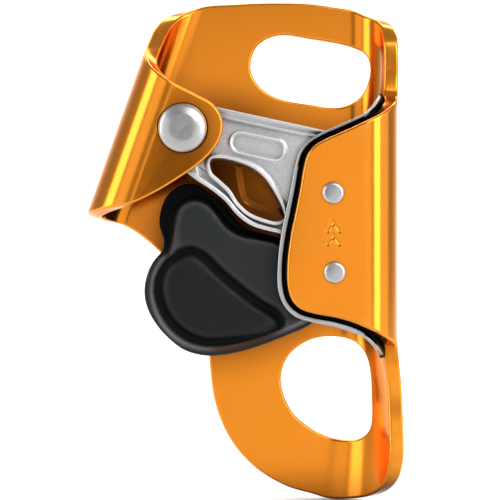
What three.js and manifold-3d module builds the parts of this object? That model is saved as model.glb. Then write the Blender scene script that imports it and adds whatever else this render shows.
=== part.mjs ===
// A chest ascender: a rope clamp with a sprung toothed cam in a folded aluminium frame.
//
// Frame of reference, in millimetres: the origin is on the cam axle's axis, in the plane of the
// frame's flat rear face. +Z points up the rope, +X towards the rope channel, and -Y towards the
// front, where the tab and the channel's flap are.
import * as THREE from "three";
import { mergeVertices } from "three/addons/utils/BufferGeometryUtils.js";
import Module from "manifold-3d";

const wasm = await Module();
wasm.setup();

// ---------------------------------------------------------------- driving dimensions
const SHEET = 3.0; // thickness of the frame's aluminium sheet
const GAP = 14.0; // clear depth between the back plate and the folded-over parts
const CHANNEL_WALL_X = 40.4; // inner face of the rope channel's side wall
const LIP_RADIUS = 4.5; // inner radius of the bend from the side wall to the flap
const HEEL_RADIUS = 6.5; // inner radius of the bend from the plate to the side wall, at the top
const HEEL_TOP = 20; // height below which that radius starts to grow
const HEEL_FOOT = -75; // height at which it has doubled
const FOLD_TILT = THREE.MathUtils.degToRad(19.5); // left fold's axis, from the vertical
const FOLD_RADIUS = 5.0; // inner radius of both bends of the left fold
const FOLD_START = 4.83; // distance from the axle to where the left fold starts
const TAB_LEAN = THREE.MathUtils.degToRad(3); // the tab is bent this far past a half turn
const WEAR_SHEET = 1.0; // thickness of the stainless wear plate
const WEAR_GAP = 0.08; // between the wear plate and the sheet it lies against
const AXLE_RADIUS = 3.0;
const AXLE_HEAD_RADIUS = 4.9;
const COUNTERSINK = 1.4; // depth of the axle's flush rear end
const REAR_END_RADIUS = 4.4;
const HUB_RADIUS = 5.8;
const SPRING_SEAT = 4.75; // radius of the return spring's seat in the rear of the cam
const SPRING_SEAT_Y = -7.6; // depth of its floor
const CAM_FRONT = -15.2;
const CAM_REAR = -4.8;
const PIN = new THREE.Vector2(27.5, -29.5); // catch pin, on the cam's tail
const PIN_RADIUS = 1.25;
const CATCH_FRONT = -14.6;
const CATCH_REAR = -4.7;
const RIVETS = [new THREE.Vector2(30.1, -13.0), new THREE.Vector2(30.4, -28.9)];

const FLAP_Y = -(SHEET + GAP); // inner face of the flap and of the tab
const IN_FRONT = -30; // ends of a cutter that passes right through the part
const BEHIND = 5;
const HALF_PI = Math.PI / 2;

// ---------------------------------------------------------------- small helpers
const v2 = (x, z) => new THREE.Vector2(x, z);
const each = (place, ...pairs) => pairs.map(([a, b]) => place(a, b));

/** Points along a smooth closed curve through the given points. */
function smoothLoop(points, perSpan) {
  const curve = new THREE.CatmullRomCurve3(
    points.map((p) => new THREE.Vector3(p.x, p.y, 0)), true, "centripetal");
  return curve.getPoints(points.length * perSpan).slice(0, -1).map((p) => v2(p.x, p.y));
}

/** Points on part of a circle, from one angle to another, in degrees. */
function arc(centre, radius, from, to, steps) {
  return Array.from({ length: steps + 1 }, (_, i) => {
    const a = THREE.MathUtils.degToRad(from + ((to - from) * i) / steps);
    return v2(centre.x + radius * Math.cos(a), centre.y + radius * Math.sin(a));
  });
}

/** A closed geometry as a manifold solid. */
function solid(geometry) {
  const bare = geometry.clone();
  bare.deleteAttribute("normal");
  bare.deleteAttribute("uv");
  const merged = mergeVertices(bare, 1e-4);
  return new wasm.Manifold(new wasm.Mesh({
    numProp: 3,
    vertProperties: merged.attributes.position.array,
    triVerts: new Uint32Array(merged.index.array),
  }));
}

/** A manifold solid as a geometry. */
function geometryOf(made) {
  const mesh = made.getMesh();
  const geometry = new THREE.BufferGeometry()
    .setAttribute("position", new THREE.BufferAttribute(mesh.vertProperties, 3))
    .setIndex(new THREE.BufferAttribute(mesh.triVerts, 1));
  geometry.computeVertexNormals();
  return geometry;
}

/** A flat outline in X and Z, with holes, filled between two depths along Y. */
function slab(outline, front, rear, holes = []) {
  const shape = new THREE.Shape(THREE.ShapeUtils.isClockWise(outline) ? outline.toReversed() : outline);
  shape.holes = holes.map((points) => new THREE.Path(points));
  const geometry = new THREE.ExtrudeGeometry(shape, { depth: rear - front, bevelEnabled: false });
  geometry.rotateX(HALF_PI).translate(0, rear, 0);
  return solid(geometry);
}

/** A flat outline in X and Y, filled between two heights along Z. */
function prism(outline, bottom, top) {
  const shape = new THREE.Shape(outline);
  const geometry = new THREE.ExtrudeGeometry(shape, { depth: top - bottom, bevelEnabled: false });
  return solid(geometry.translate(0, 0, bottom));
}

/** A round bar along Y, from front to rear. */
function bar(radius, front, rear, centre = v2(0, 0), sides = 40) {
  const geometry = new THREE.CylinderGeometry(radius, radius, rear - front, sides);
  return solid(geometry.translate(centre.x, (front + rear) / 2, centre.y));
}

/** A solid of revolution about Y: profile pairs are radius and y, from front to rear. */
function turned(profile, centre = v2(0, 0), sides = 40) {
  const points = profile.map(([radius, y]) => v2(radius, y));
  return solid(new THREE.LatheGeometry(points, sides).translate(centre.x, 0, centre.y));
}

// ---------------------------------------------------------------- sheet-metal bending
// The frame and the wear plate are drawn flat, in blank coordinates (u, v), cut into narrow
// strips where they bend, and then folded. "rise" is measured through the sheet, from the
// face that looks into the folds.
const MID = SHEET / 2;
const foldOut = v2(-Math.cos(FOLD_TILT), Math.sin(FOLD_TILT)); // away from the axle, over the left fold
const foldUp = v2(Math.sin(FOLD_TILT), Math.cos(FOLD_TILT)); // along the left fold

/** The channel's rear bend is tight at the top and opens out towards the bottom. */
function heelRadius(z) {
  const share = Math.max(0, (HEEL_TOP - z) / (HEEL_TOP - HEEL_FOOT));
  return HEEL_RADIUS * (1 + share ** 2.4);
}

/** Where each stretch of the right-hand fold starts, in blank coordinates, at a height. */
function channelStations(z) {
  const radius = heelRadius(z);
  const bend = CHANNEL_WALL_X - radius;
  const wall = bend + HALF_PI * (radius + MID);
  const lip = wall + Math.max(0.3, GAP - radius - LIP_RADIUS); // no lip to reach below the flap
  const flap = lip + HALF_PI * (LIP_RADIUS + MID);
  return { radius, bend, wall, lip, flap };
}

/** The ends of the side wall, where nothing folds over, lean outwards a little. */
function flare(z) {
  const low = THREE.MathUtils.smoothstep(-z, 42, 54) * 1.5;
  const high = THREE.MathUtils.smoothstep(z, 3, 14) * 0.9;
  return low + high;
}

function bendChannel(u, z, rise) {
  const s = channelStations(z);
  const lean = (y) => flare(z) * Math.min(1, (-y - SHEET) / 11) ** 2;
  if (u < s.wall) {
    const angle = (u - s.bend) / (s.radius + MID);
    const radius = s.radius + rise;
    const y = -(SHEET + s.radius) + radius * Math.cos(angle);
    return [s.bend + radius * Math.sin(angle) + (y < -SHEET ? lean(y) : 0), y, z];
  }
  if (u < s.lip) {
    const y = -(SHEET + s.radius) - (u - s.wall);
    return [CHANNEL_WALL_X + rise + lean(y), y, z];
  }
  const turn = CHANNEL_WALL_X - LIP_RADIUS;
  if (u < s.flap) {
    const angle = (u - s.lip) / (LIP_RADIUS + MID);
    const radius = LIP_RADIUS + rise;
    const y = FLAP_Y + LIP_RADIUS - radius * Math.sin(angle);
    return [turn + radius * Math.cos(angle) + lean(y), y, z];
  }
  return [turn - (u - s.flap) + flare(z), FLAP_Y - rise, z];
}

const FOLD_BEND = HALF_PI * (FOLD_RADIUS + MID);
const FOLD_WALL = FOLD_START + FOLD_BEND;
const FOLD_LIP = FOLD_WALL + GAP - 2 * FOLD_RADIUS;
const FOLD_TAB = FOLD_LIP + FOLD_BEND + TAB_LEAN * (FOLD_RADIUS + MID);

function bendFold(n, v, rise) {
  const edge = FOLD_START + FOLD_RADIUS;
  const place = (out, y) => [out * foldOut.x + v * foldUp.x, y, out * foldOut.y + v * foldUp.y];
  if (n < FOLD_WALL) {
    const angle = (n - FOLD_START) / (FOLD_RADIUS + MID);
    const radius = FOLD_RADIUS + rise;
    const y = radius * Math.cos(angle) - (SHEET + FOLD_RADIUS);
    return place(FOLD_START + radius * Math.sin(angle), y);
  }
  if (n < FOLD_LIP) return place(edge + rise, -(SHEET + FOLD_RADIUS) - (n - FOLD_WALL));
  const full = HALF_PI + TAB_LEAN;
  const angle = Math.min(full, (n - FOLD_LIP) / (FOLD_RADIUS + MID));
  const radius = FOLD_RADIUS + rise;
  const past = Math.max(0, n - FOLD_TAB);
  return place(
    FOLD_START + radius * Math.cos(angle) - past * Math.cos(TAB_LEAN),
    FLAP_Y + FOLD_RADIUS - radius * Math.sin(angle) + past * Math.sin(TAB_LEAN));
}

/** A point of the blank, and its rise through the sheet, folded into place. */
function fold(u, v, rise) {
  const n = u * foldOut.x + v * foldOut.y;
  if (n > FOLD_START) return bendFold(n, u * foldUp.x + v * foldUp.y, rise);
  if (u > channelStations(v).bend) return bendChannel(u, v, rise);
  return [u, rise - SHEET, v];
}

// Blank coordinates of a point, said the way it is seen on the folded part.
const onPlate = v2;
const onFold = (n, v) => v2(n * foldOut.x + v * foldUp.x, n * foldOut.y + v * foldUp.y);
const onHeel = (degrees, z) => {
  const s = channelStations(z);
  return v2(s.bend + (s.radius + MID) * THREE.MathUtils.degToRad(degrees), z);
};
const onWall = (share, z) => {
  const s = channelStations(z);
  return v2(s.wall + (s.lip - s.wall) * share, z);
};
const onLip = (degrees, z) => {
  const turned = (LIP_RADIUS + MID) * THREE.MathUtils.degToRad(degrees);
  return v2(channelStations(z).lip + turned, z);
};
const onFlap = (x, z) => v2(channelStations(z).flap + CHANNEL_WALL_X - LIP_RADIUS - x, z);
const seenInHeel = (x, z) => {
  const s = channelStations(z);
  const sine = Math.max(0, x - s.bend) / s.radius;
  return sine > 0 ? onHeel(THREE.MathUtils.radToDeg(Math.asin(sine)), z) : v2(x, z);
};

/** Corners, three to a triangle, of the blank's own faces inside one cell; not of the cuts. */
function facesInside(blank, corners) {
  const mesh = blank.intersect(slab(corners, -50, 50)).getMesh();
  const faces = [];
  mesh.runOriginalID.forEach((id, run) => {
    if (id !== blank.originalID()) return;
    for (const corner of mesh.triVerts.subarray(mesh.runIndex[run], mesh.runIndex[run + 1])) {
      faces.push(mesh.vertProperties.subarray(corner * 3, corner * 3 + 3));
    }
  });
  return faces;
}

/** The cells that a blank is cut into, so that each one is narrow where the sheet bends. */
function blankCells() {
  const rows = [-100, -74, -66, -58, -53, -49, -45, -41, -30, -19, -8, 3, 6.5, 10.5, 14.5, 21, 50];
  const right = [
    ...Array.from({ length: 10 }, (_, i) => (z) => onHeel(i * 10, z)),
    ...Array.from({ length: 8 }, (_, i) => (z) => onLip((i * 90) / 7, z)),
    (z) => v2(120, z),
  ];
  const cells = [[...rows.map((z) => onHeel(0, z)), onFold(FOLD_START, 60), onFold(FOLD_START, -110)]];
  for (let i = 1; i < rows.length; i++) {
    for (let j = 1; j < right.length; j++) {
      const [near, far] = [right[j - 1], right[j]];
      cells.push([near(rows[i - 1]), far(rows[i - 1]), far(rows[i]), near(rows[i])]);
    }
  }
  const bends = Array.from({ length: 8 }, (_, i) => (FOLD_BEND * i) / 7);
  const left = [...bends.map((n) => FOLD_START + n),
    ...bends.map((n) => FOLD_LIP + (n * (FOLD_TAB - FOLD_LIP)) / FOLD_BEND), 120];
  for (let i = 1; i < left.length; i++) {
    const [near, far] = [left[i - 1], left[i]];
    cells.push(each(onFold, [near, -150], [near, 150], [far, 150], [far, -150]));
  }
  return cells;
}

/** Splits triangles whose edge passes through another's corner, so that no seam stays open. */
function closeSeams(points, triangles) {
  const between = (p, a, b) => {
    const rest = p.distanceTo(a) + p.distanceTo(b) - a.distanceTo(b);
    return rest < 1e-6 && p.distanceTo(a) > 1e-3 && p.distanceTo(b) > 1e-3;
  };
  for (;;) {
    const edges = new Map();
    triangles.forEach(([a, b, c], i) => {
      for (const [from, to, apex] of [[a, b, c], [b, c, a], [c, a, b]]) {
        edges.set(`${from} ${to}`, [from, to, apex, i]);
      }
    });
    const open = [...edges.values()].filter(([a, b]) => !edges.has(`${b} ${a}`));
    const loose = [...new Set(open.flatMap(([a, b]) => [a, b]))];
    let split;
    for (const [a, b, c, i] of open) {
      const on = loose.find((p) => p !== a && p !== b && between(points[p], points[a], points[b]));
      if (on === undefined) continue;
      split = { i, made: [[a, on, c], [on, b, c]] };
      break;
    }
    if (!split) return;
    triangles.splice(split.i, 1, ...split.made);
  }
}

/** A flat blank of the given thickness, folded; riseOfFront is its height off the inner face. */
function foldedSheet(outline, holes, thickness, riseOfFront) {
  const blank = slab(outline, 0, thickness, holes).asOriginal();
  const corners = blankCells().flatMap((cell) => facesInside(blank, cell));
  const loose = new THREE.Float32BufferAttribute(corners.flatMap((corner) => [...corner]), 3);
  const flat = mergeVertices(new THREE.BufferGeometry().setAttribute("position", loose), 1e-3);
  const at = flat.attributes.position;
  const pointAt = (_, i) => new THREE.Vector3().fromBufferAttribute(at, i);
  const points = Array.from({ length: at.count }, pointAt);
  const triangles = [];
  for (let i = 0; i < flat.index.count; i += 3) triangles.push([...flat.index.array.subarray(i, i + 3)]);
  closeSeams(points, triangles);
  return new wasm.Manifold(new wasm.Mesh({
    numProp: 3,
    vertProperties: Float32Array.from(points.flatMap((p) => fold(p.x, p.z, riseOfFront + p.y))),
    triVerts: Uint32Array.from(triangles.flat()),
  }));
}

// ---------------------------------------------------------------- frame
const PLATE_TOP = each(onPlate, [4.2, 26.1], [10, 26.5], [18, 26.8], [26, 26.6], [31, 25.9]);
const CHANNEL_TOP = [
  ...each(onHeel, [6, 25.3], [30, 24.0], [55, 22.9], [78, 20.9]),
  ...each(onWall, [0.15, 18], [0.35, 14.5], [0.45, 10.5], [0.8, 7.2]),
  ...each(onLip, [25, 5.2], [50, 3.5], [70, 2.2]),
];
const FLAP_EDGE = each(onFlap, [35.3, 0.8], [32.0, -0.7], [28.6, -2.2], [26.4, -3.5],
  [25.0, -5.2], [24.3, -7.4], [23.4, -12.5], [22.5, -17], [21.5, -22], [20.9, -27], [21.0, -31.8],
  [21.8, -34.4], [23.6, -36.2], [26.2, -37.1], [31, -38.0], [34.6, -39.1]);
const CHANNEL_FOOT = [
  ...each(onLip, [72, -40.6], [45, -42.2], [15, -44.0]),
  ...each(onHeel, [92, -47.2], [88, -52], [88, -60], [86, -66], [77, -70.6], [62, -73.6],
    [40, -75.4], [10, -75.8]),
];
const PLATE_FOOT = each(onPlate, [26.5, -74.9], [21.3, -73.4], [15.7, -70.3], [11.4, -66.3],
  [8.3, -61.5], [6.3, -56.1], [5.4, -50.8], [5.0, -46], [4.1, -40], [2.2, -34.5], [-1.0, -29.0],
  [-5.1, -24.9], [-8.6, -21.8]);
const FOLD_FOOT = each(onFold, [5.5, -22.4], [11, -22.8], [17, -22.9], [21.6, -22.1], [25.5, -20.3]);
const TAB_EDGE = each(onFold, [29.3, -17.9], [33.3, -14], [36.4, -10.2], [39.2, -6.4],
  [41.2, -2.6], [41.9, 1.0], [41.0, 4.3], [38.4, 6.5], [34.2, 7.3]);
const FOLD_TOP = each(onFold, [29.2, 8.0], [23.6, 10.1], [19.0, 13.6], [15.0, 17.7], [11.0, 21.5],
  [7.6, 24.1]);

const UPPER_EYE = [
  ...each(onPlate, [13.6, 13.4], [15.0, 17.8], [19.2, 20.0], [26.5, 19.2]),
  ...each(seenInHeel, [34.4, 17.6], [37.4, 15.6], [38.1, 12.4], [36.4, 7.6]),
  ...each(onPlate, [32.2, 5.2], [25.6, 5.8], [18.9, 7.2], [15.0, 10.0]),
];
const LOWER_EYE = [
  ...each(onPlate, [19.9, -51.4], [21.3, -46.6], [25.6, -43.2], [30.6, -42.3]),
  ...each(seenInHeel, [35.4, -43.7], [37.6, -47.4], [38.1, -54.5], [37.8, -60.8], [35.6, -63.4]),
  ...each(onPlate, [31.0, -63.4], [26.2, -61.4], [22.0, -57.6]),
];

function frameSolid() {
  const right = [PLATE_TOP, CHANNEL_TOP, FLAP_EDGE, CHANNEL_FOOT].flat();
  const left = [PLATE_FOOT, FOLD_FOOT, TAB_EDGE, FOLD_TOP].flat();
  const holes = [smoothLoop(UPPER_EYE, 3), smoothLoop(LOWER_EYE, 3)];
  let made = foldedSheet(smoothLoop([...right, ...left], 2), holes, SHEET, 0);
  const seat = 0.55; // depth of the flat seat that the axle's head sits in
  const pressed = 0.5; // depth of the shallow pressing behind the cam
  made = made.subtract(bar(AXLE_RADIUS + 0.1, IN_FRONT, BEHIND));
  made = made.subtract(turned([[0, -COUNTERSINK - 0.1], [AXLE_RADIUS, -COUNTERSINK - 0.1],
    [REAR_END_RADIUS + 0.2, 0.05], [0, 0.05]]));
  made = made.subtract(bar(AXLE_HEAD_RADIUS + 0.3, IN_FRONT, FLAP_Y - SHEET + seat));
  for (const centre of RIVETS) made = made.subtract(bar(1.35, IN_FRONT, FLAP_Y + 1, centre, 24));
  const pocket = each(v2, [11.6, -3], [11.6, -13.2], [12.6, -14.8], [20.5, -17.2], [25.5, -17.8],
    [27.0, -16.4], [27.0, -4.5], [25.5, -3]);
  return made.subtract(slab(pocket, -SHEET - 1, -SHEET + pressed));
}

// ---------------------------------------------------------------- wear plate and its rivets
const WEAR_OUTLINE = [
  ...each(onPlate, [27.0, -6.5], [28.5, -3.6]),
  ...each(onHeel, [0, -2.0], [45, 2.0]),
  ...each(onWall, [0, 6.0], [0.9, 7.3]),
  ...each(onLip, [35, 6.0], [65, 4.0]),
  ...each(onFlap, [34.2, 2.0], [31.0, 0.6], [27.8, -0.8], [25.2, -2.4], [23.5, -4.4],
    [22.6, -7.2], [21.7, -12.0], [20.7, -16.5], [19.7, -21.5], [19.1, -26.8], [19.1, -32.2],
    [20.2, -35.4], [22.4, -37.7], [25.8, -38.9], [30.6, -39.9], [34.0, -41.0]),
  ...each(onLip, [70, -42.6], [35, -44.8]),
  ...each(onWall, [0.9, -46.3]),
  ...each(onHeel, [80, -44.5], [45, -40], [5, -37.0]),
  ...each(onPlate, [28.5, -36.0], [27.0, -33.5], [26.8, -20]),
];

function wearPlateSolid() {
  const front = -(WEAR_GAP + WEAR_SHEET);
  let made = foldedSheet(smoothLoop(WEAR_OUTLINE, 2), [], WEAR_SHEET, front);
  for (const centre of RIVETS) made = made.subtract(bar(1.35, IN_FRONT, FLAP_Y + 3, centre, 24));
  return made;
}

function wearRivetSolid(centre) {
  const face = FLAP_Y - SHEET; // the flap's outer face
  const inner = FLAP_Y + WEAR_GAP + WEAR_SHEET;
  const dome = [[0, face - 0.75], [0.9, face - 0.72], [1.7, face - 0.5], [2.2, face - 0.12]];
  const shank = [[1.25, face - 0.02], [1.25, inner - 0.05], [0, inner - 0.05]];
  return turned([...dome, [2.2, face - 0.02], ...shank], centre, 24);
}

// ---------------------------------------------------------------- cam, its axle, washers and spring
function axleSolid() {
  const seat = FLAP_Y - SHEET + 0.5;
  const top = seat - 2.1;
  const head = [[0, top + 0.15], [3.1, top], [3.6, top], [4.5, top + 0.55]];
  head.push([AXLE_HEAD_RADIUS, top + 1.2], [AXLE_HEAD_RADIUS, seat]);
  const shank = [[AXLE_RADIUS, seat], [AXLE_RADIUS, -COUNTERSINK], [REAR_END_RADIUS, 0], [0, 0]];
  return turned([...head, ...shank]);
}

const WASHER = { inner: 3.15, outer: 4.7, thickness: 0.4 };

function washerSolid(front) {
  return turned([[WASHER.inner, front], [WASHER.outer, front], [WASHER.outer, front + WASHER.thickness],
    [WASHER.inner, front + WASHER.thickness], [WASHER.inner, front]]);
}

// The toothed face is a logarithmic spiral about the axle, so it meets every rope at one angle.
const GRIP_ANGLE = THREE.MathUtils.degToRad(30);
const NOSE_REACH = 38.7; // x of the face where it comes closest to the channel's wall
function toothFace(degreesDown) {
  const a = THREE.MathUtils.degToRad(degreesDown);
  const r = (NOSE_REACH / Math.cos(GRIP_ANGLE)) * Math.exp(Math.tan(GRIP_ANGLE) * (a - GRIP_ANGLE));
  return v2(r * Math.cos(a), -r * Math.sin(a));
}

const CAM_BELLY = each(v2, [25.2, -24.2], [22.6, -22.3], [19.4, -21.1], [16.5, -20.4],
  [13.6, -19.4], [10.9, -17.4], [8.5, -14.6], [5.7, -12.3], [2.7, -10.3], [0.2, -8.2]);
const CAM_WINDOW = each(v2, [5.6, -6.2], [7.6, -5.9], [10.6, -6.5], [13.9, -7.8], [16.4, -9.8],
  [18.4, -12.7], [20.1, -16.1], [20.4, -17.9], [19.0, -18.6], [16.2, -18.0], [13.4, -16.8],
  [11.2, -14.8], [9.5, -12.2], [7.4, -10.2], [5.7, -8.5]);

function camOutline() {
  const face = Array.from({ length: 13 }, (_, i) => toothFace(2.4 + (33.6 * i) / 12));
  const cheek = arc(PIN, 4.75, 4, 100, 8); // clears the catch's cheeks
  const crown = [v2(1.25, 5.66), v2(33.2, -1.25)];
  return [...crown, ...face, v2(37.4, -29.6), v2(33.9, -29.6), ...cheek, ...CAM_BELLY,
    ...arc(v2(0, 0), HUB_RADIUS, 235, 90, 14)];
}

function camSolid() {
  let made = slab(camOutline(), CAM_FRONT, CAM_REAR, [smoothLoop(CAM_WINDOW, 2)]);
  // The nose is rounded, front and rear, to fit inside the channel's bends.
  const section = [
    v2(-20, CAM_REAR),
    v2(-20, CAM_FRONT),
    ...arc(v2(NOSE_REACH - 2.5, CAM_FRONT + 2.6), 2.6, -90, 0, 5),
    ...arc(v2(NOSE_REACH - 5.5, CAM_REAR - 5.6), 5.6, 0, 90, 8),
  ];
  made = made.intersect(prism(section, -60, 30));
  const tongue = [v2(27, -20), v2(31.5, -23), ...arc(PIN, 3.8, 20, -190, 14), v2(23.2, -23.4)];
  made = made.add(slab(tongue, -11.6, -9.2));
  made = made.add(bar(HUB_RADIUS, -15.8, -10));
  // The crown between the two rims, front and rear, is thinner than the hub and the nose.
  const panel = each(v2, [8.5, 2.0], [27.0, -2.0], [25.5, -6], [22.5, -15.5], [19.6, -11.6],
    [17.4, -8.6], [14.5, -6.1], [10.9, -4.8], [8.4, -4.4]);
  made = made.subtract(slab(panel, CAM_FRONT - 1, CAM_FRONT + 0.7));
  made = made.subtract(slab(panel, CAM_REAR - 3.2, CAM_REAR + 1));
  const slot = [v2(33.2, -11.5), v2(50, -14), v2(50, -22), v2(35.2, -19.5), v2(33.6, -15.5)];
  made = made.subtract(slab(slot, -11.2, -8.8)); // lets mud out of the teeth
  made = made.subtract(bar(AXLE_RADIUS + 0.08, IN_FRONT, BEHIND));
  made = made.subtract(bar(SPRING_SEAT, SPRING_SEAT_Y, 0));
  return made.subtract(bar(PIN_RADIUS + 0.08, IN_FRONT, BEHIND, PIN, 24));
}

/** A coil about Y with a straight leg at each end, as one bent wire. */
class SpringPath extends THREE.Curve {
  constructor({ centre, radius, front, rear, turns, startAngle, frontLeg, rearLeg }) {
    super();
    Object.assign(this, { centre, radius, front, rear, turns, startAngle, frontLeg, rearLeg });
    this.length = frontLeg + rearLeg + turns * 2 * Math.PI * radius;
  }

  getPoint(t) {
    const along = t * this.length - this.frontLeg;
    const coil = this.turns * 2 * Math.PI * this.radius;
    const wound = THREE.MathUtils.clamp(along, 0, coil);
    const angle = this.startAngle + wound / this.radius;
    const y = this.front + ((this.rear - this.front) * wound) / coil;
    const straight = along - wound; // negative on the front leg, positive on the rear one
    return new THREE.Vector3(
      this.centre.x + this.radius * Math.cos(angle) - straight * Math.sin(angle),
      y,
      this.centre.y + this.radius * Math.sin(angle) + straight * Math.cos(angle));
  }
}

function springSolid(path, wireRadius, steps, sides) {
  const section = new THREE.Shape(arc(v2(0, 0), wireRadius, 0, 360, sides).slice(0, -1));
  return solid(new THREE.ExtrudeGeometry(section, { steps, extrudePath: path, bevelEnabled: false }));
}

const CAM_SPRING = new SpringPath({
  centre: v2(0, 0), radius: 3.95, front: -7.1, rear: -4.35, turns: 2.6,
  startAngle: THREE.MathUtils.degToRad(-60), frontLeg: 0.5, rearLeg: 5.0,
});

// ---------------------------------------------------------------- safety catch, its pin and spring
const CATCH_OUTLINE = each(v2, [8.0, -15.1], [5.2, -12.9], [2.2, -10.9], [-1.0, -11.3],
  [-3.6, -13.6], [-4.8, -16.7], [-5.0, -19.4], [-4.1, -22.4], [-4.4, -24.4], [-6.3, -26.8],
  [-7.6, -29.6], [-8.1, -33.0], [-7.5, -36.2], [-6.0, -39.1], [-3.4, -42.2], [0.2, -44.9],
  [4.6, -46.0], [8.8, -45.7], [13.2, -44.7], [17.6, -43.2], [21.6, -41.6], [25.4, -39.9],
  [28.4, -37.2], [30.6, -33.4], [31.5, -29.6], [30.5, -26.7], [27.7, -25.5], [24.6, -25.4],
  [22.0, -23.8], [19.4, -21.9], [16.4, -21.1], [13.2, -20.2], [10.2, -18.0]);
const CATCH_FACE = each(v2, [1.4, -14.5], [-0.5, -15.6], [-1.4, -18], [-1.7, -21.5],
  [-2.3, -24.4], [-4.3, -26.6], [-5.9, -29.5], [-6.4, -33.0], [-5.8, -36], [-4.2, -39.2],
  [-1.6, -42], [1.6, -43.8], [5.4, -44.4], [10, -44], [16, -42.2], [21, -40.2], [25.2, -38.2],
  [28.9, -34.8], [30.4, -30.2], [28.6, -27.2], [24.4, -26.3], [19.4, -23.2], [15.2, -22.2],
  [11.4, -21.4], [8.6, -19.6], [6.6, -17.0], [4.4, -14.9]);
const THUMB_PAD = each(v2, [2.4, -24.6], [5.6, -27.4], [11.3, -32.6], [17.1, -36.7],
  [19.2, -38.9], [17.6, -41.2], [12.8, -42.6], [7.4, -43.4], [2.3, -42.9], [-1.4, -40.4],
  [-4.2, -36.4], [-5.0, -32.2], [-4.2, -28.6], [-1.4, -25.8]);
const CATCH_SHOULDER = -9.6; // depth where the raised face starts

/** A loop moved towards its middle by a share of its distance from it. */
function shrunk(points, share) {
  const middle = points.reduce((sum, p) => sum.add(p), v2(0, 0)).divideScalar(points.length);
  return points.map((p) => p.clone().lerp(middle, share));
}

function catchSolid() {
  const floor = CATCH_FRONT + 1.4; // of the groove round the thumb pad
  let made = slab(smoothLoop(CATCH_OUTLINE, 2), CATCH_SHOULDER, CATCH_REAR);
  made = made.add(slab(smoothLoop(CATCH_FACE, 2), CATCH_FRONT, CATCH_SHOULDER + 0.2));
  const island = smoothLoop(shrunk(THUMB_PAD, 0.17), 2);
  made = made.subtract(slab(smoothLoop(THUMB_PAD, 2), CATCH_FRONT - 1, floor, [island]));
  const fork = [...arc(PIN, 4.7, 250, 165, 8), v2(19.5, -19), v2(36, -20), v2(36, -36)];
  made = made.subtract(slab(fork, -12.0, -7.2)); // slot for the cam's tongue and the spring
  return made.subtract(bar(PIN_RADIUS + 0.03, IN_FRONT, BEHIND, PIN, 24));
}

const CATCH_SPRING = new SpringPath({
  centre: PIN, radius: 1.9, front: -8.75, rear: -7.6, turns: 2.2,
  startAngle: THREE.MathUtils.degToRad(80), frontLeg: 0.6, rearLeg: 1.6,
});

// ---------------------------------------------------------------- materials and assembly
function finish(color, metalness, roughness) {
  return new THREE.MeshStandardMaterial({ color, metalness, roughness });
}

const anodised = finish(0xf29522, 0.9, 0.22);
const stainless = finish(0xb4b7bb, 0.9, 0.3);
const castSteel = finish(0x9c9fa3, 0.8, 0.45);
const plated = finish(0xc9cbce, 1.0, 0.2);
const nylon = finish(0x24282b, 0.0, 0.45);
const acetal = finish(0xe6e3da, 0.0, 0.5);
const springSteel = finish(0x6f7276, 1.0, 0.3);

function part(name, made, material) {
  const mesh = new THREE.Mesh(geometryOf(made), material);
  mesh.name = name;
  return mesh;
}

const ascender = new THREE.Group();
ascender.add(
  part("frame", frameSolid(), anodised),
  part("wear_plate", wearPlateSolid(), stainless),
  part("wear_plate_rivet_upper", wearRivetSolid(RIVETS[0]), plated),
  part("wear_plate_rivet_lower", wearRivetSolid(RIVETS[1]), plated),
  part("cam_axle", axleSolid(), plated),
  part("cam_washer_front", washerSolid(-16.3), acetal),
  part("cam_washer_rear", washerSolid(-3.6), acetal),
  part("cam", camSolid(), castSteel),
  part("cam_spring", springSolid(CAM_SPRING, 0.4, 54, 6), springSteel),
  part("safety_catch", catchSolid(), nylon),
  part("catch_pin", bar(PIN_RADIUS, -14.5, CATCH_REAR + 0.1, PIN, 24), plated),
  part("catch_spring", springSolid(CATCH_SPRING, 0.25, 36, 6), springSteel),
);

export default ascender;
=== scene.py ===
"""The looks of a chest ascender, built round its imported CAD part. Shapes are in millimetres here
and become metres when a mesh is made. The frame of reference is the part's own: the cam axle's axis
is the origin, in the plane of the rear face, with +Z up the rope and -Y to the front."""

import math

import bpy
import numpy as np
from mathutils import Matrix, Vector
from mathutils.geometry import delaunay_2d_cdt


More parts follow.
